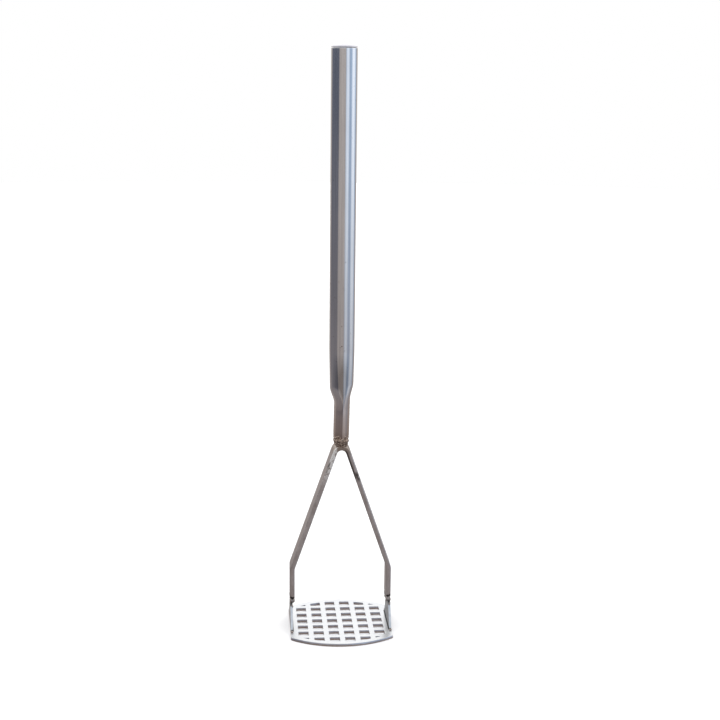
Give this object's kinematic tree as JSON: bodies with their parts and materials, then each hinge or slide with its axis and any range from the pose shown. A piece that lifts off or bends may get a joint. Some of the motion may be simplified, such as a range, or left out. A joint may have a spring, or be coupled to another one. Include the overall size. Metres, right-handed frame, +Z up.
{
  "type": "potato masher",
  "caption": "Long-handled potato masher: a round tube handle squeezed into a neck, a bent flat-bar yoke and a flat plate punched with square holes.",
  "frame": {"origin": "centre of the masher plate's underside, on the surface that the masher stands on", "axes": "+Z up the handle, X across the two legs of the yoke, Y from the front of the plate to the back"},
  "size_m": [0.1076, 0.12, 0.6057],
  "materials": {
    "tube_steel": "stainless tube, polished along its length with fine lengthwise lines",
    "bar_steel": "stainless flat bar, dull mill finish with a warm tint and ground patches",
    "plate_steel": "stainless sheet, satin, with punched hole edges",
    "weld_steel": "rough weld metal with brown heat tint"
  },
  "bodies": {
    "root": {"handle_tube": "tube_steel", "handle_end_cap": "tube_steel", "yoke_bar": "bar_steel", "masher_plate": "plate_steel", "ear_left": "bar_steel", "ear_right": "bar_steel", "neck_weld": "weld_steel", "leg_weld_left": "weld_steel", "leg_weld_right": "weld_steel", "ear_tack_left_front": "weld_steel", "ear_tack_left_rear": "weld_steel", "ear_tack_right_front": "weld_steel", "ear_tack_right_rear": "weld_steel"}
  },
  "joints": []
}
